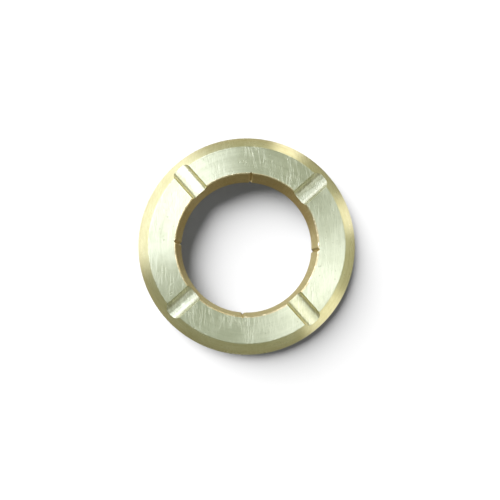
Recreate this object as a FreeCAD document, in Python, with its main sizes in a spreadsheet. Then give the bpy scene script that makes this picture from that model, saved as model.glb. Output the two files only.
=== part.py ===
import FreeCAD, Part
import math
import os
import Sketcher

# A thrust washer: one thick machined ring that lies flat on its back face.
# Origin at the centre of the back face, +Z along the bore towards the grooved face,
# +X along the deeper of the two milled groove passes. Everything is in millimetres.

# Driving sizes: alias, then value and what it is
SIZES = {
    "bore_diameter": (25.0, "cylindrical bore for the shaft"),
    "outer_diameter": (40.0, "straight outer rim"),
    "thickness": (5.0, "back face to grooved face"),
    "bevel_width": (2.7, "outer bevel, measured radially"),
    "bevel_depth": (2.6, "outer bevel, measured along the axis"),
    "bevel_crown": (0.12, "how far the bevel bows out from a true cone"),
    "back_edge_break": (0.3, "45 degree break on both edges of the back face"),
    "bore_edge_break": (0.15, "45 degree break where the bore meets the grooved face"),
    "cutter_diameter": (3.35, "flat-ended cutter that milled the oil grooves"),
    "cutter_corner": (0.9, "rounded corner of that cutter, between its side and its end"),
    "deep_groove_depth": (0.95, "groove pass along X, below the grooved face"),
    "shallow_groove_depth": (0.8, "groove pass along Y, below the grooved face"),
    "nick_width": (0.45, "V nick at the edge of the grooved face"),
    "nick_depth": (0.25, "V nick, radially beyond the edge of the grooved face"),
    "nick_angle": (45.0, "turn from the X groove to the first nick, in degrees"),
    "nick_count": (4, "nicks evenly spaced round the bore"),
}
SMALLEST_CUT = 0.001  # cubic mm, far below the smallest feature
SHEET = "Sizes"
ORIGIN_POINT = (-1, 1)
HORIZONTAL_AXIS = -1
VERTICAL_AXIS = -2


def make_size_sheet(doc):
    """Put every driving size in a spreadsheet, one row each, under its alias."""
    sheet = doc.addObject("Spreadsheet::Sheet", SHEET)
    for row, (alias, (value, meaning)) in enumerate(SIZES.items(), start=1):
        sheet.set("A%d" % row, alias)
        sheet.set("B%d" % row, str(value))
        sheet.set("C%d" % row, meaning)
        sheet.setAlias("B%d" % row, alias)
    doc.recompute()


def first(alias):
    """The value that a driving size starts with, for a sketch's first drawing."""
    return SIZES[alias][0]


def formula(text):
    """Turn plain size names into references to the size sheet."""
    for alias in SIZES:
        text = text.replace(alias, "%s.%s" % (SHEET, alias))
    return text


def make_sketch(body, name, plane_role, turn_formula=None):
    """Attach an empty sketch to one of the body's own origin planes."""
    sketch = body.newObject("Sketcher::SketchObject", name)
    planes = {feature.Role: feature for feature in body.Origin.OriginFeatures}
    sketch.AttachmentSupport = [(planes[plane_role], "")]
    sketch.MapMode = "FlatFace"
    if turn_formula:
        sketch.AttachmentOffset = FreeCAD.Placement(
            FreeCAD.Vector(), FreeCAD.Rotation(FreeCAD.Vector(0, 0, 1), 1)
        )
        sketch.setExpression("AttachmentOffset.Rotation.Angle", formula(turn_formula))
    return sketch


def bind(sketch, constraint, name, text):
    """Add a named constraint and tie its value to a formula of the driving sizes."""
    index = sketch.addConstraint(constraint)
    sketch.renameConstraint(index, name)
    sketch.setExpression("Constraints." + name, formula(text))


def hold_point(sketch, curve, end, name, across, up):
    """Hold one end of a sketch curve at its distances from the sketch's origin.

    across and up are formulas, and up is None for a point on the horizontal axis."""
    point = sketch.getPoint(curve, end)
    reach = Sketcher.Constraint("DistanceX", *ORIGIN_POINT, curve, end, point.x)
    bind(sketch, reach, name + "_across", across)
    if up is None:
        sketch.addConstraint(Sketcher.Constraint("PointOnObject", curve, end, HORIZONTAL_AXIS))
    else:
        rise = Sketcher.Constraint("DistanceY", *ORIGIN_POINT, curve, end, point.y)
        bind(sketch, rise, name + "_up", up)


def join_smoothly(sketch, one, other):
    """Join a line's end and an arc's end, each given as (curve, end), so that they are tangent."""
    sketch.addConstraint(Sketcher.Constraint("Tangent", *one, *other))


def draw_outline(sketch, corners, crowned=None, crown=0):
    """Draw a closed outline of lines, with the side after corner `crowned` bowed out by crown.

    corners is a list of (name, (x, y), across, up): where the corner is first drawn, and
    the two formulas that hold it there when a size changes."""
    count = len(corners)
    places = [FreeCAD.Vector(*place, 0) for _, place, _, _ in corners]
    for side in range(count):
        start, end = places[side], places[(side + 1) % count]
        if corners[side][0] == crowned:
            # bowed to the right of the way from start to end, which is the outside
            chord = end - start
            outward = FreeCAD.Vector(chord.y, -chord.x, 0).normalize()
            crest = (start + end) / 2 + outward * crown
            sketch.addGeometry(Part.Arc(start, crest, end), False)
        else:
            sketch.addGeometry(Part.LineSegment(start, end), False)
    for side in range(count):
        following = (side + 1) % count
        sketch.addConstraint(Sketcher.Constraint("Coincident", side, 2, following, 1))
    for side, (name, _, across, up) in enumerate(corners):
        hold_point(sketch, side, 1, name, across, up)


def cut(doc, body, feature, before):
    """Recompute after a cutting feature and make sure that it took material away."""
    doc.recompute()
    body.Tip = feature
    doc.recompute()
    volume = body.Shape.Volume
    if volume > before - SMALLEST_CUT:
        raise RuntimeError("%s cut nothing" % feature.Name)
    return volume


def revolve_ring(doc, body):
    """The turned blank: bore, faces, rim, crowned outer bevel and edge breaks."""
    profile = make_sketch(body, "ring_profile", "XZ_Plane")
    bore, bore_radius = "bore_diameter / 2", first("bore_diameter") / 2
    rim, rim_radius = "outer_diameter / 2", first("outer_diameter") / 2
    top = first("thickness")
    back_break = first("back_edge_break")
    bore_break = first("bore_edge_break")
    rim_top = top - first("bevel_depth")
    face_radius = rim_radius - first("bevel_width")
    corners = [
        ("bore_foot", (bore_radius, back_break), bore, "back_edge_break"),
        ("back_inner", (bore_radius + back_break, 0), bore + " + back_edge_break", None),
        ("back_outer", (rim_radius - back_break, 0), rim + " - back_edge_break", None),
        ("rim_foot", (rim_radius, back_break), rim, "back_edge_break"),
        ("rim_top", (rim_radius, rim_top), rim, "thickness - bevel_depth"),
        ("face_outer", (face_radius, top), rim + " - bevel_width", "thickness"),
        ("face_inner", (bore_radius + bore_break, top), bore + " + bore_edge_break", "thickness"),
        ("bore_top", (bore_radius, top - bore_break), bore, "thickness - bore_edge_break"),
    ]
    draw_outline(profile, corners, crowned="rim_top", crown=first("bevel_crown"))
    crowned_side = [corner[0] for corner in corners].index("rim_top")
    arc = profile.Geometry[crowned_side]
    curve = Sketcher.Constraint("Radius", crowned_side, arc.Radius)
    bend = "(bevel_width ^ 2 + bevel_depth ^ 2) / (8 * bevel_crown) + bevel_crown / 2"
    bind(profile, curve, "bevel_radius", bend)
    ring = body.newObject("PartDesign::Revolution", "turned_ring")
    ring.Profile = profile
    ring.ReferenceAxis = (profile, ["V_Axis"])
    ring.Angle = 360
    doc.recompute()
    return body.Shape.Volume


def draw_cutter(section, depth):
    """Draw the cutter's outline in a groove section: flat end down, corners rounded.

    depth is the alias of the groove's depth below the grooved face."""
    side, corner = first("cutter_diameter") / 2, first("cutter_corner")
    floor = first("thickness") - first(depth)
    bend, top = floor + corner, first("thickness") + corner
    flat = side - corner
    swing = corner * math.sqrt(0.5)
    path = [
        (side, top), (side, bend), (flat, floor), (-flat, floor), (-side, bend), (-side, top)
    ]
    points = [FreeCAD.Vector(*place, 0) for place in path]
    middles = {1: (flat + swing, bend - swing), 3: (-flat - swing, bend - swing)}
    for side_number, start in enumerate(points):
        end = points[(side_number + 1) % len(points)]
        if side_number in middles:
            middle = FreeCAD.Vector(*middles[side_number], 0)
            section.addGeometry(Part.Arc(start, middle, end), False)
        else:
            section.addGeometry(Part.LineSegment(start, end), False)
    right_wall, right_corner, flat_end, left_corner, left_wall, lid = range(6)
    join_smoothly(section, (right_wall, 2), (right_corner, 2))
    join_smoothly(section, (right_corner, 1), (flat_end, 1))
    join_smoothly(section, (flat_end, 2), (left_corner, 2))
    join_smoothly(section, (left_corner, 1), (left_wall, 1))
    section.addConstraint(Sketcher.Constraint("Coincident", left_wall, 2, lid, 1))
    section.addConstraint(Sketcher.Constraint("Coincident", lid, 2, right_wall, 1))
    section.addConstraint(Sketcher.Constraint("Vertical", right_wall))
    section.addConstraint(Sketcher.Constraint("Vertical", left_wall))
    section.addConstraint(Sketcher.Constraint("Horizontal", flat_end))
    section.addConstraint(Sketcher.Constraint("Equal", right_corner, left_corner))
    mirrored = Sketcher.Constraint("Symmetric", lid, 1, lid, 2, VERTICAL_AXIS)
    section.addConstraint(mirrored)
    width = Sketcher.Constraint("DistanceX", lid, 1, lid, 2, 2 * side)
    bind(section, width, "cutter_width", "cutter_diameter")
    rounding = Sketcher.Constraint("Radius", right_corner, corner)
    bind(section, rounding, "corner_radius", "cutter_corner")
    low = Sketcher.Constraint("DistanceY", *ORIGIN_POINT, flat_end, 1, floor)
    bind(section, low, "floor_height", "thickness - %s" % depth)
    high = Sketcher.Constraint("DistanceY", *ORIGIN_POINT, lid, 1, top)
    bind(section, high, "lid_height", "thickness + cutter_corner")


def mill_groove(doc, body, name, plane_role, depth, before):
    """One straight pass of the cutter across the whole face."""
    section = make_sketch(body, name + "_section", plane_role)
    draw_cutter(section, depth)
    groove = body.newObject("PartDesign::Pocket", name)
    groove.Profile = section
    groove.SideType = "Symmetric"
    groove.Type = "ThroughAll"
    return cut(doc, body, groove, before)


def file_nicks(doc, body, before):
    """Small V nicks down the bore wall, midway between the grooves."""
    section = make_sketch(body, "nick_section", "XY_Plane", "nick_angle")
    face_edge = "bore_diameter / 2 + bore_edge_break"
    edge_radius = first("bore_diameter") / 2 + first("bore_edge_break")
    depth = first("nick_depth")
    mouth = face_edge + " - 2 * nick_depth"
    mouth_radius = edge_radius - 2 * depth
    half_mouth = 3 * first("nick_width") / 2
    corners = [
        ("nick_root", (edge_radius + depth, 0), face_edge + " + nick_depth", None),
        ("nick_left", (mouth_radius, half_mouth), mouth, "3 * nick_width / 2"),
        ("nick_right", (mouth_radius, -half_mouth), mouth, "-3 * nick_width / 2"),
    ]
    draw_outline(section, corners)
    nick = body.newObject("PartDesign::Pocket", "nick")
    nick.Profile = section
    nick.SideType = "Symmetric"
    nick.Type = "ThroughAll"
    one_cut = cut(doc, body, nick, before)

    axes = {feature.Role: feature for feature in body.Origin.OriginFeatures}
    nicks = body.newObject("PartDesign::PolarPattern", "nicks")
    nicks.Originals = [nick]
    nicks.Axis = (axes["Z_Axis"], [""])
    nicks.Angle = 360
    nicks.setExpression("Occurrences", formula("nick_count"))
    return cut(doc, body, nicks, one_cut)


def make_thrust_washer(doc):
    """The whole piece: a turned ring, two groove passes and four nicks."""
    body = doc.addObject("PartDesign::Body", "thrust_washer")
    body.Label = "thrust_washer"
    volume = revolve_ring(doc, body)
    volume = mill_groove(doc, body, "x_groove", "YZ_Plane", "deep_groove_depth", volume)
    volume = mill_groove(doc, body, "y_groove", "XZ_Plane", "shallow_groove_depth", volume)
    file_nicks(doc, body, volume)
    body.Placement = FreeCAD.Placement()
    return body


def check_document(doc, parts):
    """Stop if anything in the document failed, or if a part isn't one sound solid."""
    for thing in doc.Objects:
        if "Invalid" in thing.State or "Error" in thing.State:
            raise RuntimeError("%s did not compute: %s" % (thing.Name, thing.State))
    for part in parts:
        shape = part.Shape
        if shape.isNull() or not shape.isValid() or len(shape.Solids) != 1:
            raise RuntimeError("%s is not one valid solid" % part.Label)


def main():
    doc = FreeCAD.newDocument("thrust_washer_model")
    make_size_sheet(doc)
    parts = [make_thrust_washer(doc)]
    doc.recompute()
    check_document(doc, parts)
    os.makedirs("parts", exist_ok=True)
    for part in parts:
        part.Shape.exportStep("parts/%s.step" % part.Label)
        print("%s: %.1f cubic mm" % (part.Label, part.Shape.Volume))


main()
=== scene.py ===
"""Looks of the grooved thrust washer: a brass ring turned on a lathe, milled and filed.

The ring is modelled the way it is made. A blank is turned from its profile, four grooves are
milled into its face, four nicks are filed down its bore, and then its edges are broken. Each
machined surface gets a brass finish of its own.
"""

import logging
import math
import random
from contextlib import contextmanager
from dataclasses import dataclass, field
from enum import Enum
from typing import Any, Callable, Iterator, Sequence

import bmesh
import bpy
from mathutils import Matrix, Vector


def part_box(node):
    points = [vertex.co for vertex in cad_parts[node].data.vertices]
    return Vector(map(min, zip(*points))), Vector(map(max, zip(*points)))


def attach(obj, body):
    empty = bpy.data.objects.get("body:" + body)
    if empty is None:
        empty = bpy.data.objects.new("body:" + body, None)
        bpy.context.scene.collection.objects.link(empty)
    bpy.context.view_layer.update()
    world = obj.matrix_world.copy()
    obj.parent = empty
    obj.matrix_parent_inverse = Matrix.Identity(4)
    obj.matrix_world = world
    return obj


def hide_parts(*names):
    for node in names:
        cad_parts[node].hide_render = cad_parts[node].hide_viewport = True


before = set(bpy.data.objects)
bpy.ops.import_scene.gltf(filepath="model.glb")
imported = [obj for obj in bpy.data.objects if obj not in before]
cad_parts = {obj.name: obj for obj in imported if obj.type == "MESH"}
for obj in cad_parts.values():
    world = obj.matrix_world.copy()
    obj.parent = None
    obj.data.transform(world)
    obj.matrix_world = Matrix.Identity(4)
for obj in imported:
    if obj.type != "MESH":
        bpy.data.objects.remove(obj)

Node = bpy.types.Node
Socket = bpy.types.NodeSocket
Colour = tuple[float, float, float]

LOG = logging.getLogger("thrust_washer")
NODE = "thrust_washer"
MM = 0.001
# Work on the bench is done in millimetres, a thousand times up, because the merge and bevel
# tools lose track of distances of a few microns in metres. It is brought down at the end.
BENCH_SCALE = 1 / MM
# On the bench, places closer than this count as one.
TOUCH = 1e-3
# An edge or a strip this share of its full length counts as whole.
WHOLE = 0.99
# The deeper groove pass is milled along +X. The viewer's right hand lies this far round from it.
VIEWER_RIGHT_DEG = -41.7


class Surface(Enum):
    """The machined surfaces of the ring, in the order of its material slots."""

    FACE = 0
    BEVEL = 1
    GROOVE_X = 2
    GROOVE_Y = 3
    BORE = 4
    RIM = 5
    BACK = 6


class Pass(Enum):
    """The two straight passes of the groove cutter, as the turn of each from +X in degrees."""

    ALONG_X = 0
    ALONG_Y = 90


# ---- bench tools


def deselect_all() -> None:
    """Leave nothing selected, the CAD nodes included."""
    bpy.ops.object.select_all(action="DESELECT")


@dataclass
class Workpiece:
    """One mesh on the bench, with the few ways in which it is held and marked out.

    Args:
        item: the Blender object that holds the mesh.
    """

    item: bpy.types.Object

    def take_up(self) -> None:
        """Select this mesh alone and make it the active one."""
        deselect_all()
        self.item.select_set(True)
        bpy.context.view_layer.objects.active = self.item

    @contextmanager
    def editing(self, mode: str = "VERT") -> Iterator[None]:
        """Hold this mesh alone in edit mode.

        Args:
            mode: what is picked, one of VERT, EDGE or FACE.
        """
        self.take_up()
        bpy.ops.object.mode_set(mode="EDIT")
        bpy.ops.mesh.select_mode(type=mode)
        try:
            yield
        finally:
            bpy.ops.object.mode_set(mode="OBJECT")

    def _pick(self, kind: str, test: Callable[[Any], bool]) -> int:
        """Select, in edit mode, only the parts of the mesh that pass a test.

        Args:
            kind: "verts" or "edges".
            test: says whether a part is picked.

        Returns:
            How many were picked.
        """
        bpy.ops.mesh.select_all(action="DESELECT")
        mesh = bmesh.from_edit_mesh(self.item.data)
        chosen = [part for part in getattr(mesh, kind) if test(part)]
        for part in chosen:
            part.select = True
        mesh.select_flush_mode()
        bmesh.update_edit_mesh(self.item.data)
        return len(chosen)

    def pick_verts(self, test: Callable[[bmesh.types.BMVert], bool]) -> int:
        """Select the vertices that pass a test, and say how many there are."""
        return self._pick("verts", test)

    def pick_edges(self, test: Callable[[bmesh.types.BMEdge], bool]) -> int:
        """Select the edges that pass a test, and say how many there are."""
        return self._pick("edges", test)

    def put_in_order(self, place: Sequence[float]) -> None:
        """Number all vertices by their distance from a place, and leave them selected.

        Cutting can leave them in another order on each run, which would change what is merged
        and how far each one is shaken.

        Args:
            place: a point at a different distance from each vertex.
        """
        bpy.context.scene.cursor.location = place
        bpy.ops.mesh.select_all(action="SELECT")
        bpy.ops.mesh.sort_elements(type="CURSOR_DISTANCE", elements={"VERT"})

    def apply(self, name: str, kind: str, **settings: Any) -> None:
        """Add a modifier, set it up and apply it.

        Args:
            name: the modifier's name.
            kind: the modifier's type.
            settings: values of its properties.
        """
        modifier = self.item.modifiers.new(name, kind)
        for key, value in settings.items():
            setattr(modifier, key, value)
        self.take_up()
        bpy.ops.object.modifier_apply(modifier=name)

    def copy_turned(self, degrees: float) -> "Workpiece":
        """Copy this mesh, with its own data, and turn the copy about the bore's axis.

        Args:
            degrees: how far, anticlockwise from above.

        Returns:
            The copy.
        """
        self.take_up()
        bpy.ops.object.duplicate(linked=False)
        copy = Workpiece(bpy.context.object)
        with copy.editing():
            bpy.ops.mesh.select_all(action="SELECT")
            bpy.ops.transform.rotate(
                value=math.radians(degrees), orient_axis="Z", center_override=(0, 0, 0)
            )
        return copy

    def joined_with(self, others: Sequence["Workpiece"]) -> "Workpiece":
        """Join other meshes into this one.

        Args:
            others: the meshes that it takes up.

        Returns:
            This mesh.
        """
        self.take_up()
        for other in others:
            other.item.select_set(True)
        bpy.ops.object.join()
        return self

    def discard(self) -> None:
        """Take a finished cutter off the bench."""
        self.take_up()
        bpy.ops.object.delete()

    def open_edges(self) -> int:
        """Count the edges that don't join exactly two faces.

        Returns:
            The count, which is 0 on a closed mesh.
        """
        mesh = bmesh.new()
        mesh.from_mesh(self.item.data)
        count = sum(not edge.is_manifold for edge in mesh.edges)
        mesh.free()
        return count


def radius_of(place: Vector) -> float:
    """Distance of a point from the bore's axis."""
    return math.hypot(place.x, place.y)


# ---- the ring


@dataclass
class Ring:
    """The thrust washer. Lengths are in millimetres while it is on the bench.

    The overall sizes come from the CAD node, and the others are the maker's own.
    """

    rim_radius: float
    thickness: float
    bore_radius: float = 12.5
    bevel_width: float = 2.7
    bevel_depth: float = 2.6
    bevel_crown: float = 0.12
    back_break: float = 0.3
    bore_break: float = 0.15
    cutter_half: float = 1.675
    deep_corner: float = 1.35
    shallow_corner: float = 0.9
    deep_groove: float = 0.95
    shallow_groove: float = 0.8
    nick_root: float = 12.9
    nick_mouth: float = 12.15
    nick_half_mouth: float = 0.675
    around: int = 480
    bevel_rings: int = 40
    rim_rings: int = 12
    ring_ridge: float = 0.014
    corner_steps: int = 10
    floor_strips: int = 10
    feed_pitch: float = 0.1
    floor_dish: float = 0.045
    chatter: float = 0.02
    groove_start: float = 11.8
    groove_reach: float = 7.4
    edge_break: float = 0.045
    shake: float = 0.02
    shake_pitch: float = 0.1
    burr_band: float = 0.1
    burr: float = 0.05
    burr_foot: float = 3.0
    swarf: float = 0.002
    same_way: float = 0.8
    smooth_deg: float = 28.0
    flat_weight: int = 80
    seed: int = 11
    order_from: tuple[float, float, float] = (31.7, 17.3, 5.9)
    finishes: dict[Surface, "Finish"] = field(default_factory=dict)

    # -- turning

    def bevel_arc(self, steps: int) -> list[tuple[float, float]]:
        """Points of the bowed bevel, from the rim up to the grooved face.

        Args:
            steps: number of spans in the arc.

        Returns:
            Radius and height of each point, with the two ends included.
        """
        low = Vector((self.rim_radius, self.thickness - self.bevel_depth))
        high = Vector((self.rim_radius - self.bevel_width, self.thickness))
        chord = high - low
        crown = self.bevel_crown
        arc_radius = chord.length_squared / (8 * crown) + crown / 2
        outward = Vector((chord.y, -chord.x)).normalized()
        centre = (low + high) / 2 - outward * (arc_radius - crown)
        start = math.atan2(low.y - centre.y, low.x - centre.x)
        end = math.atan2(high.y - centre.y, high.x - centre.x)
        points = []
        for step in range(steps + 1):
            turn = start + (end - start) * step / steps
            points.append(
                (centre.x + arc_radius * math.cos(turn), centre.y + arc_radius * math.sin(turn))
            )
        return points

    def profile(self) -> list[tuple[float, float]]:
        """Half section of the blank, from the top of the bore round to the face's inner edge.

        Returns:
            Radius and height of each point in millimetres.
        """
        chance = random.Random(self.seed)
        bore, rim, top = self.bore_radius, self.rim_radius, self.thickness
        foot, rim_top = self.back_break, top - self.bevel_depth
        points = [(bore, top - self.bore_break), (bore, foot), (bore + foot, 0.0)]
        points += [(rim - foot, 0.0), (rim, foot)]
        rise = (rim_top - foot) / self.rim_rings
        points += [
            (rim - self.ring_ridge * chance.random(), foot + rise * step)
            for step in range(1, self.rim_rings)
        ]
        arc = self.bevel_arc(self.bevel_rings)
        points.append(arc[0])
        for radius, height in arc[1:-1]:
            sunk = self.ring_ridge * chance.random() / math.sqrt(2)
            points.append((radius - sunk, height - sunk))
        outer, inner = arc[-1][0] - self.edge_break, bore + self.bore_break
        points += [(outer, top), (outer - self.burr_band, top)]
        points += [(inner + self.burr_band, top), (inner, top)]
        return points

    def turn_blank(self) -> Workpiece:
        """Draw the half section and spin it about the bore's axis.

        Returns:
            The closed blank, before any milling.
        """
        points = self.profile()
        deselect_all()
        bpy.ops.mesh.primitive_plane_add(size=1, location=(points[0][0], 0, points[0][1]))
        blank = Workpiece(bpy.context.object)
        bpy.ops.object.transform_apply(location=True, rotation=False, scale=False)
        with blank.editing():
            bpy.ops.mesh.select_all(action="SELECT")
            bpy.ops.mesh.merge(type="CENTER")
            for (radius, height), (next_radius, next_height) in zip(points, points[1:]):
                step = (next_radius - radius, 0, next_height - height)
                bpy.ops.mesh.extrude_region_move(TRANSFORM_OT_translate={"value": step})
            blank.pick_verts(lambda vert: len(vert.link_edges) == 1)
            bpy.ops.mesh.edge_face_add()
            bpy.ops.mesh.select_all(action="SELECT")
            bpy.ops.mesh.spin(
                steps=self.around, angle=math.tau, center=(0, 0, 0), axis=(0, 0, 1), use_auto_merge=True
            )
            bpy.ops.mesh.select_all(action="SELECT")
            bpy.ops.mesh.remove_doubles(threshold=1e-4)
            bpy.ops.mesh.normals_make_consistent(inside=False)
        return blank

    # -- milling

    def groove_floor(self, turn: Pass) -> float:
        """Height of a groove's floor where it meets the rounded corners."""
        depth = self.deep_groove if turn is Pass.ALONG_X else self.shallow_groove
        return self.thickness - depth

    def corner(self, turn: Pass) -> float:
        """Radius between the floor and the walls of a groove."""
        return self.deep_corner if turn is Pass.ALONG_X else self.shallow_corner

    def bar(self, half_width: float, low: float, high: float) -> Workpiece:
        """A plain bar from inside the bore out past the bevel, on the +X side.

        Args:
            half_width: half its width.
            low: height of its underside.
            high: height of its top.

        Returns:
            The bar.
        """
        reach = self.groove_reach
        deselect_all()
        bpy.ops.mesh.primitive_cube_add(
            size=1, location=(self.groove_start + reach / 2, 0, (low + high) / 2),
            scale=(reach, 2 * half_width, high - low),
        )
        bar = Workpiece(bpy.context.object)
        bpy.ops.object.transform_apply(location=True, rotation=True, scale=True)
        return bar

    def groove_cutter(self, turn: Pass) -> Workpiece:
        """The whole way of the cutter from the bore out through the bevel, on the +X side.

        It is a bar with its two lower edges rounded, divided at the feed and shaken a little,
        so that the floor and the walls come out as uneven as a cutter leaves them.

        Args:
            turn: which pass it makes.

        Returns:
            The cutter.
        """
        corner, reach, floor = self.corner(turn), self.groove_reach, self.groove_floor(turn)
        cutter = self.bar(self.cutter_half, floor, self.thickness + corner)

        def low(edge: bmesh.types.BMEdge) -> bool:
            """Whether an edge lies at the cutter's end."""
            return max(vert.co.z for vert in edge.verts) < floor + TOUCH

        with cutter.editing("EDGE"):
            cutter.pick_edges(lambda edge: low(edge) and edge.calc_length() > reach * WHOLE)
            bpy.ops.mesh.bevel(offset=corner, segments=self.corner_steps, affect="EDGES")
            flat = self.cutter_half - corner
            cutter.pick_edges(lambda edge: low(edge) and abs(edge.calc_length() - 2 * flat) < 10 * TOUCH)
            bpy.ops.mesh.subdivide(number_cuts=self.floor_strips - 1)
            bpy.ops.mesh.select_mode(type="VERT")
            for strip in range(1, self.floor_strips):
                side = flat * (2 * strip / self.floor_strips - 1)
                cutter.pick_verts(
                    lambda vert: vert.co.z < floor + TOUCH and abs(vert.co.y - side) < TOUCH
                )
                dish = self.floor_dish * (1 - (side / flat) ** 2)
                bpy.ops.transform.translate(value=(0, 0, -dish))
            bpy.ops.mesh.select_mode(type="EDGE")
            cutter.pick_edges(lambda edge: edge.calc_length() > reach * WHOLE)
            bpy.ops.mesh.subdivide(number_cuts=round(reach / self.feed_pitch) - 1)
            bpy.ops.mesh.select_mode(type="VERT")
            bpy.ops.mesh.select_all(action="SELECT")
            bpy.ops.transform.vertex_random(offset=self.chatter, seed=self.seed + turn.value)
            bpy.ops.mesh.quads_convert_to_tris()
            bpy.ops.mesh.normals_make_consistent(inside=False)
        return cutter

    def nick_file(self) -> Workpiece:
        """The corner of a file: a three-sided prism through the bore wall, on the +X side.

        Returns:
            The file.
        """
        depth = self.nick_root - self.nick_mouth
        circle = depth / 1.5
        length = 2 * self.thickness
        deselect_all()
        bpy.ops.mesh.primitive_cylinder_add(
            vertices=3, radius=circle, depth=length, rotation=(0, 0, -math.pi / 2),
            location=(self.nick_root - circle, 0, self.thickness / 2),
        )
        file = Workpiece(bpy.context.object)
        bpy.ops.object.transform_apply(location=True, rotation=True, scale=True)
        with file.editing():
            bpy.ops.mesh.select_all(action="SELECT")
            widen = self.nick_half_mouth / (circle * math.sqrt(3) / 2)
            bpy.ops.transform.resize(value=(1, widen, 1), center_override=(0, 0, 0))
            bpy.ops.mesh.normals_make_consistent(inside=False)
        return file

    def groove_half_width(self, turn: Pass, below: float) -> float:
        """Half the width of a groove at one level.

        Args:
            turn: which groove.
            below: how far the level is below the grooved face.

        Returns:
            The distance from the groove's middle to its wall.
        """
        corner = self.corner(turn)
        short = self.groove_floor(turn) + corner - (self.thickness - below)
        if short <= 0:
            return self.cutter_half
        return self.cutter_half - corner + math.sqrt(corner ** 2 - short ** 2)

    def groove_wall(self, turn: Pass, side: float, height: float) -> tuple[float, Vector]:
        """How a point lies to the outline of a groove.

        Args:
            turn: which groove.
            side: the point's distance to one side of the groove's middle.
            height: its height above the back face.

        Returns:
            The distance from the outline, and the way that the metal faces there.
        """
        corner = self.corner(turn)
        beyond, bend = abs(side) - (self.cutter_half - corner), self.groove_floor(turn) + corner
        if beyond <= 0:
            return abs(height - self.groove_floor(turn)), Vector((0, 1))
        inward = -math.copysign(1, side)
        if height >= bend:
            return abs(abs(side) - self.cutter_half), Vector((inward, 0))
        spoke = Vector((inward * beyond, bend - height))
        return abs(spoke.length - corner), spoke.normalized()

    def edge_scraper(self, turn: Pass) -> Workpiece:
        """The ragged scrape that breaks both long edges of a groove, on the +X side.

        It is a long wedge that rides in the groove and widens upwards at 45 degrees, with its
        sides shaken a little so that the broken edges come out uneven.

        Args:
            turn: which groove it rides in.

        Returns:
            The scraper.
        """
        size, reach = self.edge_break, self.groove_reach
        foot = self.groove_half_width(turn, size)
        scraper = self.bar(foot, self.thickness - size, self.thickness + size)
        with scraper.editing("EDGE"):
            scraper.pick_edges(lambda edge: edge.calc_length() > reach * WHOLE)
            bpy.ops.mesh.subdivide(number_cuts=round(reach / self.shake_pitch))
            bpy.ops.mesh.select_mode(type="VERT")
            scraper.pick_verts(lambda vert: vert.co.z > self.thickness)
            flare = (foot + 2 * size) / foot
            bpy.ops.transform.resize(value=(1, flare, 1), center_override=(0, 0, 0))
            scraper.pick_verts(lambda vert: vert.co.z < self.thickness)
            bpy.ops.transform.vertex_random(offset=self.shake, seed=self.seed + turn.value)
            bpy.ops.mesh.select_all(action="SELECT")
            bpy.ops.mesh.quads_convert_to_tris()
            bpy.ops.mesh.normals_make_consistent(inside=False)
        return scraper

    def cut(self, blank: Workpiece) -> None:
        """Mill the four grooves, file the four nicks and scrape the groove edges.

        Args:
            blank: the turned ring.
        """
        grooves, scrapers = [], []
        for turn in Pass:
            tools = ((self.groove_cutter(turn), grooves), (self.edge_scraper(turn), scrapers))
            for tool, kept in tools:
                kept += [tool.copy_turned(turn.value), tool.copy_turned(turn.value + 180)]
                tool.discard()
        file = self.nick_file()
        nicks = [file.copy_turned(45 + quarter * 90) for quarter in range(4)]
        file.discard()
        for tools in (grooves + nicks, scrapers):
            joined = tools[0].joined_with(tools[1:])
            blank.apply(
                "cut", "BOOLEAN", operation="DIFFERENCE", solver="EXACT", object=joined.item
            )
            joined.discard()
            with blank.editing():
                blank.put_in_order(self.order_from)
                bpy.ops.mesh.remove_doubles(threshold=self.swarf)

    # -- edges

    def roughen(self, blank: Workpiece) -> None:
        """Leave the small uneven burr of a tool along the edges of the face and the grooves.

        Args:
            blank: the ring, after all cutting.
        """
        inner = self.bore_radius + self.bore_break
        outer = self.rim_radius - self.bevel_width - self.edge_break

        def on_edge(vert: bmesh.types.BMVert) -> bool:
            """Say whether a vertex is on such an edge.

            Args:
                vert: the vertex.

            Returns:
                True on an edge of the face, and where a groove opens into the bore.
            """
            radius = radius_of(vert.co)
            if vert.co.z > self.thickness - TOUCH:
                return min(abs(radius - inner), abs(radius - outer)) < 2 * TOUCH
            in_groove = min(abs(vert.co.x), abs(vert.co.y)) < self.cutter_half
            at_bore = radius < self.bore_radius + 5 * TOUCH and vert.co.z > self.burr_foot
            walls = {round(face.normal.z) for face in vert.link_faces}
            return in_groove and at_bore and len(walls) > 1

        with blank.editing():
            count = blank.pick_verts(on_edge)
            bpy.ops.transform.vertex_random(offset=self.burr, seed=self.seed)
        LOG.info("burr raised at %d points", count)

    # -- dressing

    def surface_at(self, place: Vector, normal: Vector) -> Surface:
        """Name the machined surface that a mesh face belongs to.

        Args:
            place: the middle of the face.
            normal: which way it faces.

        Returns:
            The surface, worked out from the sizes of the ring.
        """
        uneven = self.floor_dish + 2 * self.chatter
        below_face = place.z < self.thickness - TOUCH
        for turn, surface in ((Pass.ALONG_X, Surface.GROOVE_X), (Pass.ALONG_Y, Surface.GROOVE_Y)):
            side = place.y if turn is Pass.ALONG_X else place.x
            gap, way = self.groove_wall(turn, side, place.z)
            facing = Vector((normal.y if turn is Pass.ALONG_X else normal.x, normal.z))
            if gap < uneven and facing.dot(way) > self.same_way and below_face:
                return surface
        radius = radius_of(place)
        if place.z < TOUCH:
            return Surface.BACK
        if radius < self.bore_radius + self.back_break:
            return Surface.BORE
        if place.z > self.thickness - 1.2 * self.edge_break:
            return Surface.FACE
        return Surface.RIM if radius > self.rim_radius - 20 * TOUCH else Surface.BEVEL

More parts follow.
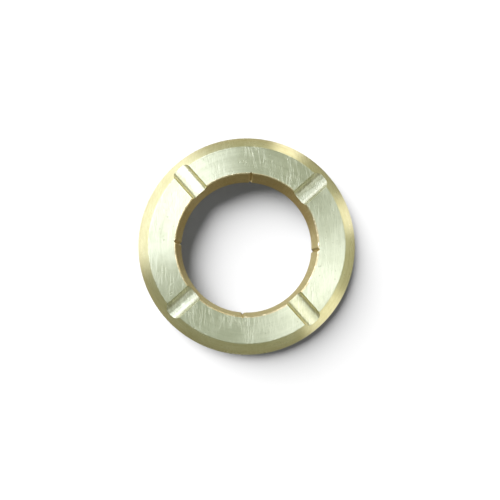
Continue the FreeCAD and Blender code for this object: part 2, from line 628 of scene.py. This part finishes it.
    def dress(self, piece: Workpiece) -> None:
        """Give every machined surface the finish that its tool left.

        Args:
            piece: the ring, still at bench scale.
        """
        mesh = piece.item.data
        mesh.materials.clear()
        for surface in Surface:
            mesh.materials.append(self.finishes[surface].material())
        for polygon in mesh.polygons:
            polygon.material_index = self.surface_at(polygon.center, polygon.normal).value

    def smooth(self, piece: Workpiece) -> None:
        """Shade round surfaces smooth, with the flats keeping their true normals.

        Args:
            piece: the finished ring, in metres.
        """
        piece.take_up()
        bpy.ops.object.shade_smooth_by_angle(angle=math.radians(self.smooth_deg))
        piece.apply("flats", "WEIGHTED_NORMAL", mode="FACE_AREA", weight=self.flat_weight,
                    keep_sharp=True)

    def build(self) -> bpy.types.Object:
        """Make the whole ring.

        Returns:
            The finished mesh object, in metres, at the origin.
        """
        blank = self.turn_blank()
        self.cut(blank)
        self.roughen(blank)
        self.dress(blank)
        with blank.editing():
            bpy.ops.mesh.select_all(action="SELECT")
            bpy.ops.transform.resize(value=(MM, MM, MM), center_override=(0, 0, 0))
        self.smooth(blank)
        blank.item.name = "brass_ring"
        blank.item.data.name = "brass_ring"
        LOG.info(
            "ring: %d faces, %d open edges", len(blank.item.data.polygons), blank.open_edges()
        )
        return blank.item


# ---- node boards


@dataclass
class Board:
    """A node tree with short ways to place and wire nodes.

    Args:
        tree: the tree of a material, a world or a group.
    """

    tree: bpy.types.NodeTree

    def place(self, kind: str, inputs: dict[Any, Any] | None = None, **settings: Any) -> Node:
        """Add a node, set its properties, and fill or wire its inputs.

        Args:
            kind: the node's type without the word ShaderNode in front.
            inputs: for each input, by name or number, a value or another node's output.
            settings: values of the node's own properties.

        Returns:
            The new node.
        """
        node = self.tree.nodes.new("ShaderNode" + kind)
        for key, value in settings.items():
            setattr(node, key, value)
        for key, value in (inputs or {}).items():
            if isinstance(value, Socket):
                self.tree.links.new(value, node.inputs[key])
            else:
                node.inputs[key].default_value = value
        return node

    def math(self, operation: str, first: Any, second: Any = 0.0, third: Any = 0.0,
             clamp: bool = False) -> Socket:
        """One step of arithmetic on numbers or sockets."""
        node = self.place("Math", {0: first, 1: second, 2: third}, operation=operation, use_clamp=clamp)
        return node.outputs[0]

    def vector_math(self, operation: str, first: Any, second: Any = (0, 0, 0)) -> Node:
        """One step of arithmetic on vectors or sockets."""
        return self.place("VectorMath", {0: first, 1: second}, operation=operation)

    def remap(self, value: Any, low: float, high: float, to_low: float = 0.0,
              to_high: float = 1.0, smooth: bool = False) -> Socket:
        """Stretch a range of values onto another, held at its ends.

        Args:
            value: the number or socket to stretch.
            low: where the range starts.
            high: where it ends.
            to_low: what its start becomes.
            to_high: what its end becomes.
            smooth: whether the change eases in and out.

        Returns:
            The stretched value.
        """
        kind = "SMOOTHSTEP" if smooth else "LINEAR"
        limits = {"Value": value, "From Min": low, "From Max": high, "To Min": to_low, "To Max": to_high}
        return self.place("MapRange", limits, interpolation_type=kind).outputs["Result"]

    def blend(self, share: Any, first: Any, second: Any) -> Socket:
        """Mix two colours.

        Args:
            share: how much of the second colour is taken.
            first: a colour or socket.
            second: a colour or socket.

        Returns:
            The mixed colour.
        """
        inputs = {0: share, 6: first, 7: second}
        return self.place("Mix", inputs, data_type="RGBA", clamp_factor=True).outputs[2]

    def noise(self, vector: Any, scale: float, detail: float = 2.0, roughness: float = 0.5) -> Socket:
        """Grey noise, from 0 to 1."""
        settings = {"Vector": vector, "Scale": scale, "Detail": detail, "Roughness": roughness}
        return self.place("TexNoise", settings, noise_dimensions="3D").outputs["Fac"]


# ---- shared effects


class Effects:
    """Shader node groups that more than one finish uses, each built once."""

    _built: dict[str, bpy.types.NodeTree] = {}
    # Each set of scratches: which way it runs, in degrees from the viewer's right hand, and its
    # noise cells to the metre across it and along it.
    SCRATCH_SETS = ((88.0, 4200.0, 240.0), (101.0, 5600.0, 380.0))

    @classmethod
    def _group(cls, name: str, inputs: dict[str, tuple[str, Any]], outputs: Sequence[str],
               wire: Callable[[Board, Node], dict[str, Socket]],
               ) -> bpy.types.NodeTree:
        """Build a group the first time it is asked for.

        Args:
            name: the group's name.
            inputs: for each input its kind of socket and its value, None for a vector.
            outputs: names of the outputs, which are all numbers.
            wire: fills the group and returns the socket for each output.

        Returns:
            The node group.
        """
        if name not in cls._built:
            tree = bpy.data.node_groups.new(name, "ShaderNodeTree")
            for label, (kind, value) in inputs.items():
                socket = tree.interface.new_socket(
                    label, in_out="INPUT", socket_type="NodeSocket" + kind
                )
                if value is not None:
                    socket.default_value = value
            for label in outputs:
                tree.interface.new_socket(label, in_out="OUTPUT", socket_type="NodeSocketFloat")
            board = Board(tree)
            entry = tree.nodes.new("NodeGroupInput")
            leave = tree.nodes.new("NodeGroupOutput")
            for label, socket in wire(board, entry).items():
                tree.links.new(socket, leave.inputs[label])
            cls._built[name] = tree
        return cls._built[name]

    @classmethod
    def turning_marks(cls) -> bpy.types.NodeTree:
        """Fine rings that a lathe tool leaves, drawn along the section of the ring.

        Inputs: Vector, the radial and axial share of the way that the tool travelled, and the
        feed in metres. Output: Marks, from 0 to 1.

        Returns:
            The node group.
        """

        def wire(board: Board, entry: Node) -> dict[str, Socket]:
            """Draw noise out round the ring, at the feed and finer.

            Args:
                board: the group's nodes.
                entry: its inputs.

            Returns:
                Its outputs.
            """
            flat = board.vector_math("MULTIPLY", entry.outputs["Vector"], (1, 1, 0)).outputs[0]
            around = board.vector_math("NORMALIZE", flat).outputs[0]
            radius = board.vector_math("LENGTH", flat).outputs["Value"]
            height = board.place("SeparateXYZ", {0: entry.outputs["Vector"]}).outputs["Z"]
            travel = board.math("MULTIPLY", radius, entry.outputs["Radial"])
            travel = board.math("MULTIPLY_ADD", height, entry.outputs["Axial"], travel)
            steps = board.math("DIVIDE", travel, entry.outputs["Feed"])
            split = board.place("SeparateXYZ", {0: around})
            ring = {"X": split.outputs["X"], "Y": split.outputs["Y"], "Z": steps}
            place = board.place("CombineXYZ", ring).outputs[0]
            return {"Marks": board.noise(place, 1.0, detail=3.0, roughness=0.65)}

        inputs = {"Vector": ("Vector", None), "Radial": ("Float", 1.0), "Axial": ("Float", 0.0),
                  "Feed": ("Float", 0.0002)}
        return cls._group("turning_marks", inputs, ["Marks"], wire)

    @classmethod
    def handling_wear(cls) -> bpy.types.NodeTree:
        """Hairline scratches and small dents from handling.

        Inputs: Vector and Amount. Outputs: Scratches and Dents, both 0 where there are none.

        Returns:
            The node group.
        """

        def wire(board: Board, entry: Node) -> dict[str, Socket]:
            """Draw thin stretched noise in two directions, and sparse round spots.

            Args:
                board: the group's nodes.
                entry: its inputs.

            Returns:
                Its outputs.
            """
            vector = entry.outputs["Vector"]
            lines = []
            for degrees, across, along in cls.SCRATCH_SETS:
                turn = -math.radians(degrees + VIEWER_RIGHT_DEG)
                laid = board.place("Mapping", {"Vector": vector, "Rotation": (0, 0, turn)}).outputs[0]
                laid = board.vector_math("MULTIPLY", laid, (along, across, 300.0)).outputs[0]
                grain = board.noise(laid, 1.0, detail=1.0)
                lines.append(board.remap(grain, 0.57, 0.68))
            patches = board.remap(board.noise(vector, 180.0, detail=1.0), 0.38, 0.56)
            both = board.math("MAXIMUM", lines[0], lines[1])
            both = board.math("MULTIPLY", both, patches)
            cells = board.place("TexVoronoi", {"Vector": vector, "Scale": 1500.0}, feature="F1")
            spots = board.remap(cells.outputs["Distance"], 0.10, 0.24, 1.0, 0.0)
            rare = board.remap(board.noise(vector, 900.0, detail=0.0), 0.54, 0.60)
            spots = board.math("MULTIPLY", spots, rare)
            amount = entry.outputs["Amount"]
            return {"Scratches": board.math("MULTIPLY", both, amount),
                    "Dents": board.math("MULTIPLY", spots, amount)}

        inputs = {"Vector": ("Vector", None), "Amount": ("Float", 1.0)}
        return cls._group("handling_wear", inputs, ["Scratches", "Dents"], wire)

    @classmethod
    def tarnish(cls) -> bpy.types.NodeTree:
        """Soft cloudy patches where the brass has dulled.

        Input: Vector. Output: Cloud, from 0 to 1.

        Returns:
            The node group.
        """

        def wire(board: Board, entry: Node) -> dict[str, Socket]:
            """Lay one size of cloud over another.

            Args:
                board: the group's nodes.
                entry: its inputs.

            Returns:
                Its outputs.
            """
            vector = entry.outputs["Vector"]
            broad = board.noise(vector, 220.0, detail=2.0)
            fine = board.noise(vector, 1400.0, detail=2.0)
            mixed = board.math("MULTIPLY_ADD", broad, 0.65, board.math("MULTIPLY", fine, 0.35))
            return {"Cloud": board.remap(mixed, 0.3, 0.7)}

        return cls._group("tarnish", {"Vector": ("Vector", None)}, ["Cloud"], wire)


# ---- finishes


# What the floor sees of the brass, so that its shadow stays grey.
NEUTRAL = (0.2, 0.2, 0.2)


@dataclass(frozen=True)
class Finish:
    """A brass surface as one tool leaves it. Each kind adds its own marks.

    Args:
        name: the material's name.
        bright: colour of clean metal; on the grooves and the bevel it also holds painted light, painted
            shade and a painted reflection, as brass_finishes says.
        dull: colour where it has tarnished or holds grime.
        roughness: how far its gloss spreads.
        roughness_swing: how far the marks change that, up or down.
        anisotropy: how much further the gloss spreads across the marks than along them.
        mark_height: depth of the tool marks in metres.
        scratch_depth: depth of the scratches in metres.
        dent_depth: depth of the dents in metres.
        feed: spacing of the tool marks in metres.
        radial: share of the tool's travel away from the axis.
        axial: share of the tool's travel along the axis.
        mark_tone: how strongly the marks show in the colour.
        wear: amount of scratches and dents.
    """

    name: str
    bright: Colour = (0.78, 0.72, 0.48)
    dull: Colour = (0.60, 0.53, 0.30)
    roughness: float = 0.38
    roughness_swing: float = 0.06
    anisotropy: float = 0.8
    mark_height: float = 1.2e-6
    scratch_depth: float = 1.6e-5
    dent_depth: float = 2.5e-5
    feed: float = 0.0002
    radial: float = 1.0
    axial: float = 0.0
    mark_tone: float = 0.25
    wear: float = 0.5

    def marks(self, board: Board, place: Socket) -> Socket:
        """The tool marks, from 0 to 1."""
        inputs = {"Vector": place, "Radial": self.radial, "Axial": self.axial, "Feed": self.feed}
        return board.place("Group", inputs, node_tree=Effects.turning_marks()).outputs["Marks"]

    def tangent(self, board: Board, place: Socket) -> Socket:
        """The way across the tool marks: for rings about the axis, straight out from it.

        Args:
            board: the material's nodes.
            place: where the point is on the ring.

        Returns:
            A direction.
        """
        flat = board.vector_math("MULTIPLY", place, (self.radial, self.radial, 0)).outputs[0]
        out = board.vector_math("NORMALIZE", flat).outputs[0]
        return board.vector_math("ADD", out, (0, 0, self.axial)).outputs[0]

    def material(self) -> bpy.types.Material:
        """Build the material.

        Returns:
            A metal whose colour, roughness and normal change over the surface.
        """
        made = bpy.data.materials.new(self.name)
        made.use_nodes = True
        board = Board(made.node_tree)
        made.node_tree.nodes.clear()
        place = board.place("TexCoord").outputs["Object"]
        marks = self.marks(board, place)
        cloud = board.place("Group", {"Vector": place}, node_tree=Effects.tarnish()).outputs["Cloud"]
        worn = {"Vector": place, "Amount": self.wear}
        wear = board.place("Group", worn, node_tree=Effects.handling_wear())
        scratches, dents = wear.outputs["Scratches"], wear.outputs["Dents"]

        tone = board.math("MULTIPLY_ADD", board.math("SUBTRACT", marks, 0.5), self.mark_tone, cloud)
        dirt = board.math("ADD", tone, dents, clamp=True)
        dirt = board.math("SUBTRACT", dirt, scratches, clamp=True)
        colour = board.blend(dirt, (*self.bright, 1), (*self.dull, 1))
        to_floor = board.place("LightPath").outputs["Is Diffuse Ray"]
        colour = board.blend(to_floor, colour, (*NEUTRAL, 1))

        swing = board.math("SUBTRACT", marks, 0.5)
        rough = board.math("MULTIPLY_ADD", swing, 2 * self.roughness_swing, self.roughness)
        rough = board.math("MULTIPLY_ADD", cloud, 0.5 * self.roughness_swing, rough, clamp=True)

        relief = board.math("MULTIPLY", marks, self.mark_height)
        relief = board.math("MULTIPLY_ADD", dents, -self.dent_depth, relief)
        relief = board.math("MULTIPLY_ADD", scratches, -self.scratch_depth, relief)
        bump = board.place("Bump", {"Strength": 1.0, "Distance": 1.0, "Height": relief})
        shader = board.place("BsdfPrincipled", {
            "Base Color": colour, "Metallic": 1.0, "Roughness": rough,
            "Anisotropic": self.anisotropy, "Normal": bump.outputs["Normal"],
            "Tangent": self.tangent(board, place),
        })
        board.place("OutputMaterial", {"Surface": shader.outputs["BSDF"]})
        return made


@dataclass(frozen=True)
class MilledFinish(Finish):
    """The floor and walls of a groove, with the feed marks of the cutter across it.

    Args:
        turn: which pass milled it.
        across: noise cells to the metre across the groove.
    """

    turn: Pass = Pass.ALONG_X
    across: float = 700.0

    def marks(self, board: Board, place: Socket) -> Socket:
        """Feed marks, stretched across the groove and a little uneven.

        Args:
            board: the material's nodes.
            place: where the point is on the ring.

        Returns:
            The marks, from 0 to 1.
        """
        fine, broad = 1 / self.feed, self.across
        cells = (fine, broad, broad) if self.turn is Pass.ALONG_X else (broad, fine, broad)
        laid = board.vector_math("MULTIPLY", place, cells).outputs[0]
        return board.noise(laid, 1.0, detail=3.0, roughness=0.6)

    def tangent(self, board: Board, place: Socket) -> Socket:
        """The way along the groove."""
        way = (1, 0, 0) if self.turn is Pass.ALONG_X else (0, 1, 0)
        return board.place("CombineXYZ", {"X": way[0], "Y": way[1], "Z": way[2]}).outputs[0]


def brass_finishes() -> dict[Surface, Finish]:
    """List the finish of each machined surface of the ring.

    Returns:
        The finishes, by surface.
    """
    milled = {"anisotropy": 0.4, "mark_height": 1.0e-5, "feed": 0.00025, "wear": 1.0}
    turned = {"bright": (0.80, 0.79, 0.57), "dull": (0.66, 0.655, 0.44)}
    return {
        Surface.FACE: Finish("turned_brass_face", **turned, roughness=0.45, anisotropy=0.9,
                             mark_height=3.0e-6, mark_tone=1.2, feed=0.0003, wear=1.0),
        # The bevel is the face's brass made yellower: the brass's own colour plus a painted warm
        # reflection of the room below the face.
        Surface.BEVEL: Finish("turned_brass_bevel_and_painted_warm_reflection", bright=(0.80, 0.76, 0.49), dull=(0.67, 0.62, 0.34),
                              roughness=0.28, anisotropy=0.6, radial=0.7, axial=-0.7,
                              mark_height=2.4e-5, mark_tone=1.5, feed=0.0004, wear=0.5),
        # The deep-pass grooves get a darker clean-metal colour than the shallow ones: painted shade on
        # the same milled brass.
        Surface.GROOVE_X: MilledFinish("milled_brass_x_painted_shade", **milled, bright=(0.70, 0.69, 0.51),
                                       dull=(0.50, 0.49, 0.33), roughness=0.47, mark_tone=1.6),
        # The shallow-pass grooves get a lighter clean-metal colour than the deep ones: painted light on
        # the same milled brass.
        Surface.GROOVE_Y: MilledFinish("milled_brass_y_painted_light", **milled, bright=(0.88, 0.83, 0.57),
                                       dull=(0.70, 0.66, 0.40), roughness=0.36, mark_tone=1.0,
                                       turn=Pass.ALONG_Y),
        Surface.BORE: Finish("bored_brass", bright=(0.80, 0.70, 0.46), dull=(0.66, 0.54, 0.29),
                             roughness=0.28, anisotropy=0.3, radial=0.0, axial=1.0,
                             mark_height=4.0e-6, mark_tone=0.6, wear=0.5),
        Surface.RIM: Finish("turned_brass_rim", bright=(0.80, 0.70, 0.42), dull=(0.66, 0.54, 0.28),
                            roughness=0.36, anisotropy=0.5, radial=0.0, axial=1.0,
                            mark_height=4.0e-6, mark_tone=0.6, wear=0.3),
        Surface.BACK: Finish("faced_brass_back", **turned, roughness=0.42, anisotropy=0.8,
                             mark_height=3.0e-6, mark_tone=1.0, wear=0.6),
    }


# ---- the studio


def viewer_way(degrees: float) -> Vector:
    """A level direction, counted anticlockwise from the viewer's right hand."""
    turn = math.radians(degrees + VIEWER_RIGHT_DEG)
    return Vector((math.cos(turn), math.sin(turn), 0))


@dataclass(frozen=True)
class Opening:
    """A bright part of the room, as the metal sees it.

    Args:
        deg: where its middle is, anticlockwise from the viewer's right hand.
        half_deg: half its width.
        soft_deg: how gently its sides fade, in degrees.
        low: sine of the angle above the horizon where it starts.
        high: sine of the angle above the horizon where it ends.
        light: its brightness in red, green and blue.
        soft_rise: how gently its foot and head fade, in the same sine.
    """

    deg: float
    half_deg: float
    soft_deg: float
    low: float
    high: float
    light: Colour
    soft_rise: float = 0.1

    def light_from(self, board: Board, level: Socket, rise: Socket) -> Socket:
        """Its light for a direction.

        Args:
            board: the room's nodes.
            level: the level part of the direction, one unit long.
            rise: the upward part of the direction.

        Returns:
            The light from there, black outside the opening.
        """
        turn = board.vector_math("DOT_PRODUCT", level, tuple(viewer_way(self.deg))).outputs["Value"]
        outer = math.cos(math.radians(min(self.half_deg + self.soft_deg, 179.0)))
        inner = math.cos(math.radians(max(self.half_deg - self.soft_deg, 0.0)))
        mask = board.remap(turn, outer, inner, smooth=True)
        soft = self.soft_rise
        foot = board.remap(rise, self.low - soft, self.low + soft, smooth=True)
        head = board.remap(rise, self.high - soft, self.high + soft, 1.0, 0.0, smooth=True)
        mask = board.math("MULTIPLY", mask, board.math("MULTIPLY", foot, head))
        return board.blend(mask, (0, 0, 0, 1), (*self.light, 1))


@dataclass
class Studio:
    """A pale floor, a large soft window light and a dim room, all round the washer."""

    floor_half: float = 0.6
    sun_deg: float = 135.0
    sun_rise_deg: float = 33.0
    sun_angle_deg: float = 56.0
    sun_strength: float = 7.2
    fill: float = 0.145
    ceiling: Colour = (0.42, 0.50, 0.47)
    high_wall: Colour = (0.25, 0.245, 0.17)
    low_wall: Colour = (0.40, 0.42, 0.33)
    wall_foot: Colour = (0.27, 0.245, 0.155)
    lit_table: Colour = (0.42, 0.42, 0.29)
    dark_table: Colour = (0.165, 0.14, 0.075)
    table_lit_deg: float = 109.0
    bright_side_deg: float = 65.0
    openings: tuple[Opening, ...] = (
        Opening(143, 41.5, 9, 0.25, 0.975, (2.3, 2.45, 3.1), 0.025),
        Opening(338, 27, 5, 0.82, 1.01, (2.1, 2.15, 2.35), 0.03),
        Opening(62, 7, 6, 0.7, 0.97, (0.3, 0.3, 0.28), 0.05),
        Opening(150, 34, 11, -0.8, 0.2, (0.84, 0.85, 0.86), 0.08),
        Opening(150, 75, 15, -0.95, -0.40, (0.21, 0.18, 0.11), 0.08),
        Opening(22, 7, 6, -0.7, 0.35, (0.85, 0.82, 0.79)),
        Opening(68, 5, 5, -0.7, 0.35, (1.10, 1.05, 1.0)),
        Opening(324, 12, 8, -0.7, 0.35, (0.80, 0.78, 0.72)),
        Opening(348, 22, 12, -0.7, 0.35, (0.11, 0.11, 0.08)),
    )

    def floor(self) -> bpy.types.Object:
        """The pale floor that the washer lies on.

        Returns:
            The floor, which the metal doesn't reflect.
        """
        deselect_all()
        bpy.ops.mesh.primitive_plane_add(size=2 * self.floor_half, location=(0, 0, 0))
        floor = bpy.context.object
        floor.name = "studio_floor"
        paint = bpy.data.materials.new("studio_floor_paint")
        paint.use_nodes = True
        shader = paint.node_tree.nodes["Principled BSDF"]
        shader.inputs["Base Color"].default_value = (0.8, 0.8, 0.8, 1)
        shader.inputs["Roughness"].default_value = 1.0
        shader.inputs["Specular IOR Level"].default_value = 0.0
        floor.data.materials.append(paint)
        floor.visible_glossy = False
        return floor

    def sun(self) -> bpy.types.Object:
        """The window's direct light, which casts the soft shadow.

        Returns:
            The lamp, which the metal doesn't reflect.
        """
        data = bpy.data.lights.new("window_light", "SUN")
        data.energy = self.sun_strength
        data.angle = math.radians(self.sun_angle_deg)
        lamp = bpy.data.objects.new("window_light", data)
        bpy.context.scene.collection.objects.link(lamp)
        rise = math.radians(self.sun_rise_deg)
        towards = viewer_way(self.sun_deg) * math.cos(rise) + Vector((0, 0, math.sin(rise)))
        lamp.rotation_mode = "QUATERNION"
        lamp.rotation_quaternion = towards.to_track_quat("Z", "Y")
        lamp.visible_glossy = False
        return lamp

    def seen_by_metal(self, board: Board) -> Socket:
        """The room as a reflection: a cool ceiling, warm walls and table, and the openings.

        Args:
            board: the room's nodes.

        Returns:
            The light from each direction.
        """
        way = board.place("TexCoord").outputs["Generated"]
        rise = board.place("SeparateXYZ", {0: way}).outputs["Z"]
        flat = board.vector_math("MULTIPLY", way, (1, 1, 0)).outputs[0]
        level = board.vector_math("NORMALIZE", flat).outputs[0]
        upper = board.blend(board.remap(rise, 0.15, 0.35, smooth=True),
                            (*self.low_wall, 1), (*self.high_wall, 1))
        above = board.blend(board.remap(rise, 0.6, 0.92, smooth=True), upper, (*self.ceiling, 1))
        lit_way = tuple(viewer_way(self.table_lit_deg))
        lit = board.vector_math("DOT_PRODUCT", way, lit_way).outputs["Value"]
        table = board.blend(board.remap(lit, 0.055, 0.17, smooth=True),
                            (*self.dark_table, 1), (*self.lit_table, 1))
        wall = board.blend(board.remap(rise, -0.6, -0.05, smooth=True),
                           (*self.wall_foot, 1), (*self.low_wall, 1))
        below = board.blend(board.remap(rise, -0.9, -0.65, smooth=True), table, wall)
        room = board.blend(board.remap(rise, -0.05, 0.05, smooth=True), below, above)
        bright_way = tuple(viewer_way(self.bright_side_deg))
        side = board.vector_math("DOT_PRODUCT", flat, bright_way).outputs["Value"]
        shade = board.vector_math("SCALE", room)
        board.tree.links.new(board.remap(side, -1.0, 1.0, 0.85, 1.35), shade.inputs["Scale"])
        total = shade.outputs[0]
        for opening in self.openings:
            total = board.vector_math("ADD", total, opening.light_from(board, level, rise)).outputs[0]
        return total

    def room(self) -> bpy.types.World:
        """What the room sends back: white to the eye, dim to the floor, a studio to the metal.

        Returns:
            The world.
        """
        world = bpy.data.worlds.new("studio_room")
        world.use_nodes = True
        world.cycles.sampling_method = "NONE"
        world.node_tree.nodes.clear()
        board = Board(world.node_tree)
        rays = board.place("LightPath")
        dim = board.blend(rays.outputs["Is Glossy Ray"], (self.fill, self.fill, self.fill, 1),
                          self.seen_by_metal(board))
        seen = board.blend(rays.outputs["Is Camera Ray"], dim, (1, 1, 1, 1))
        light = board.place("Background", {"Color": seen, "Strength": 1.0})
        board.place("OutputWorld", {"Surface": light.outputs[0]})
        bpy.context.scene.world = world
        return world

    def build(self) -> None:
        """Set up the floor, the light and the room."""
        self.floor()
        self.sun()
        self.room()
        scene = bpy.context.scene
        scene.view_settings.view_transform = "Standard"
        scene.view_settings.look = "None"


@dataclass
class Viewpoint:
    """The eye that looks straight down on the washer from close by. Lengths are in metres.

    Args:
        face_height: height of the grooved face.
    """

    face_height: float
    above_face: float = 49 * MM
    right: float = -1.0 * MM
    up: float = -4.7 * MM
    lens: float = 20.1
    shift: tuple[float, float] = (0.0177, 0.0439)

    def build(self) -> bpy.types.Object:
        """Create the camera and make it the scene's own.

        Returns:
            The camera, whose shift keeps the washer in the middle of the frame.
        """
        data = bpy.data.cameras.new("viewpoint")
        data.lens = self.lens
        data.sensor_width = 36.0
        data.shift_x, data.shift_y = self.shift
        data.clip_start = 0.001
        camera = bpy.data.objects.new("viewpoint", data)
        bpy.context.scene.collection.objects.link(camera)
        right, up = viewer_way(0), viewer_way(90)
        camera.location = (
            right * self.right + up * self.up + Vector((0, 0, self.face_height + self.above_face))
        )
        camera.rotation_mode = "QUATERNION"
        camera.rotation_quaternion = Matrix((right, up, (0, 0, 1))).transposed().to_quaternion()
        bpy.context.scene.camera = camera
        return camera


def main() -> None:
    """Build the washer in its finishes, then the studio round it, and report each piece."""
    logging.basicConfig(level=logging.INFO, format="%(message)s")
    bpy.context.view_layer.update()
    low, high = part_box(NODE)
    Viewpoint(face_height=high.z).build()

    ring = Ring(
        rim_radius=(high.x - low.x) / 2 * BENCH_SCALE,
        thickness=(high.z - low.z) * BENCH_SCALE,
        finishes=brass_finishes(),
    ).build()
    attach(ring, "root")
    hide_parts(NODE)
    LOG.info("%s rides on root and stands for %s", ring.name, NODE)

    Studio().build()


if __name__ == "__main__":
    main()
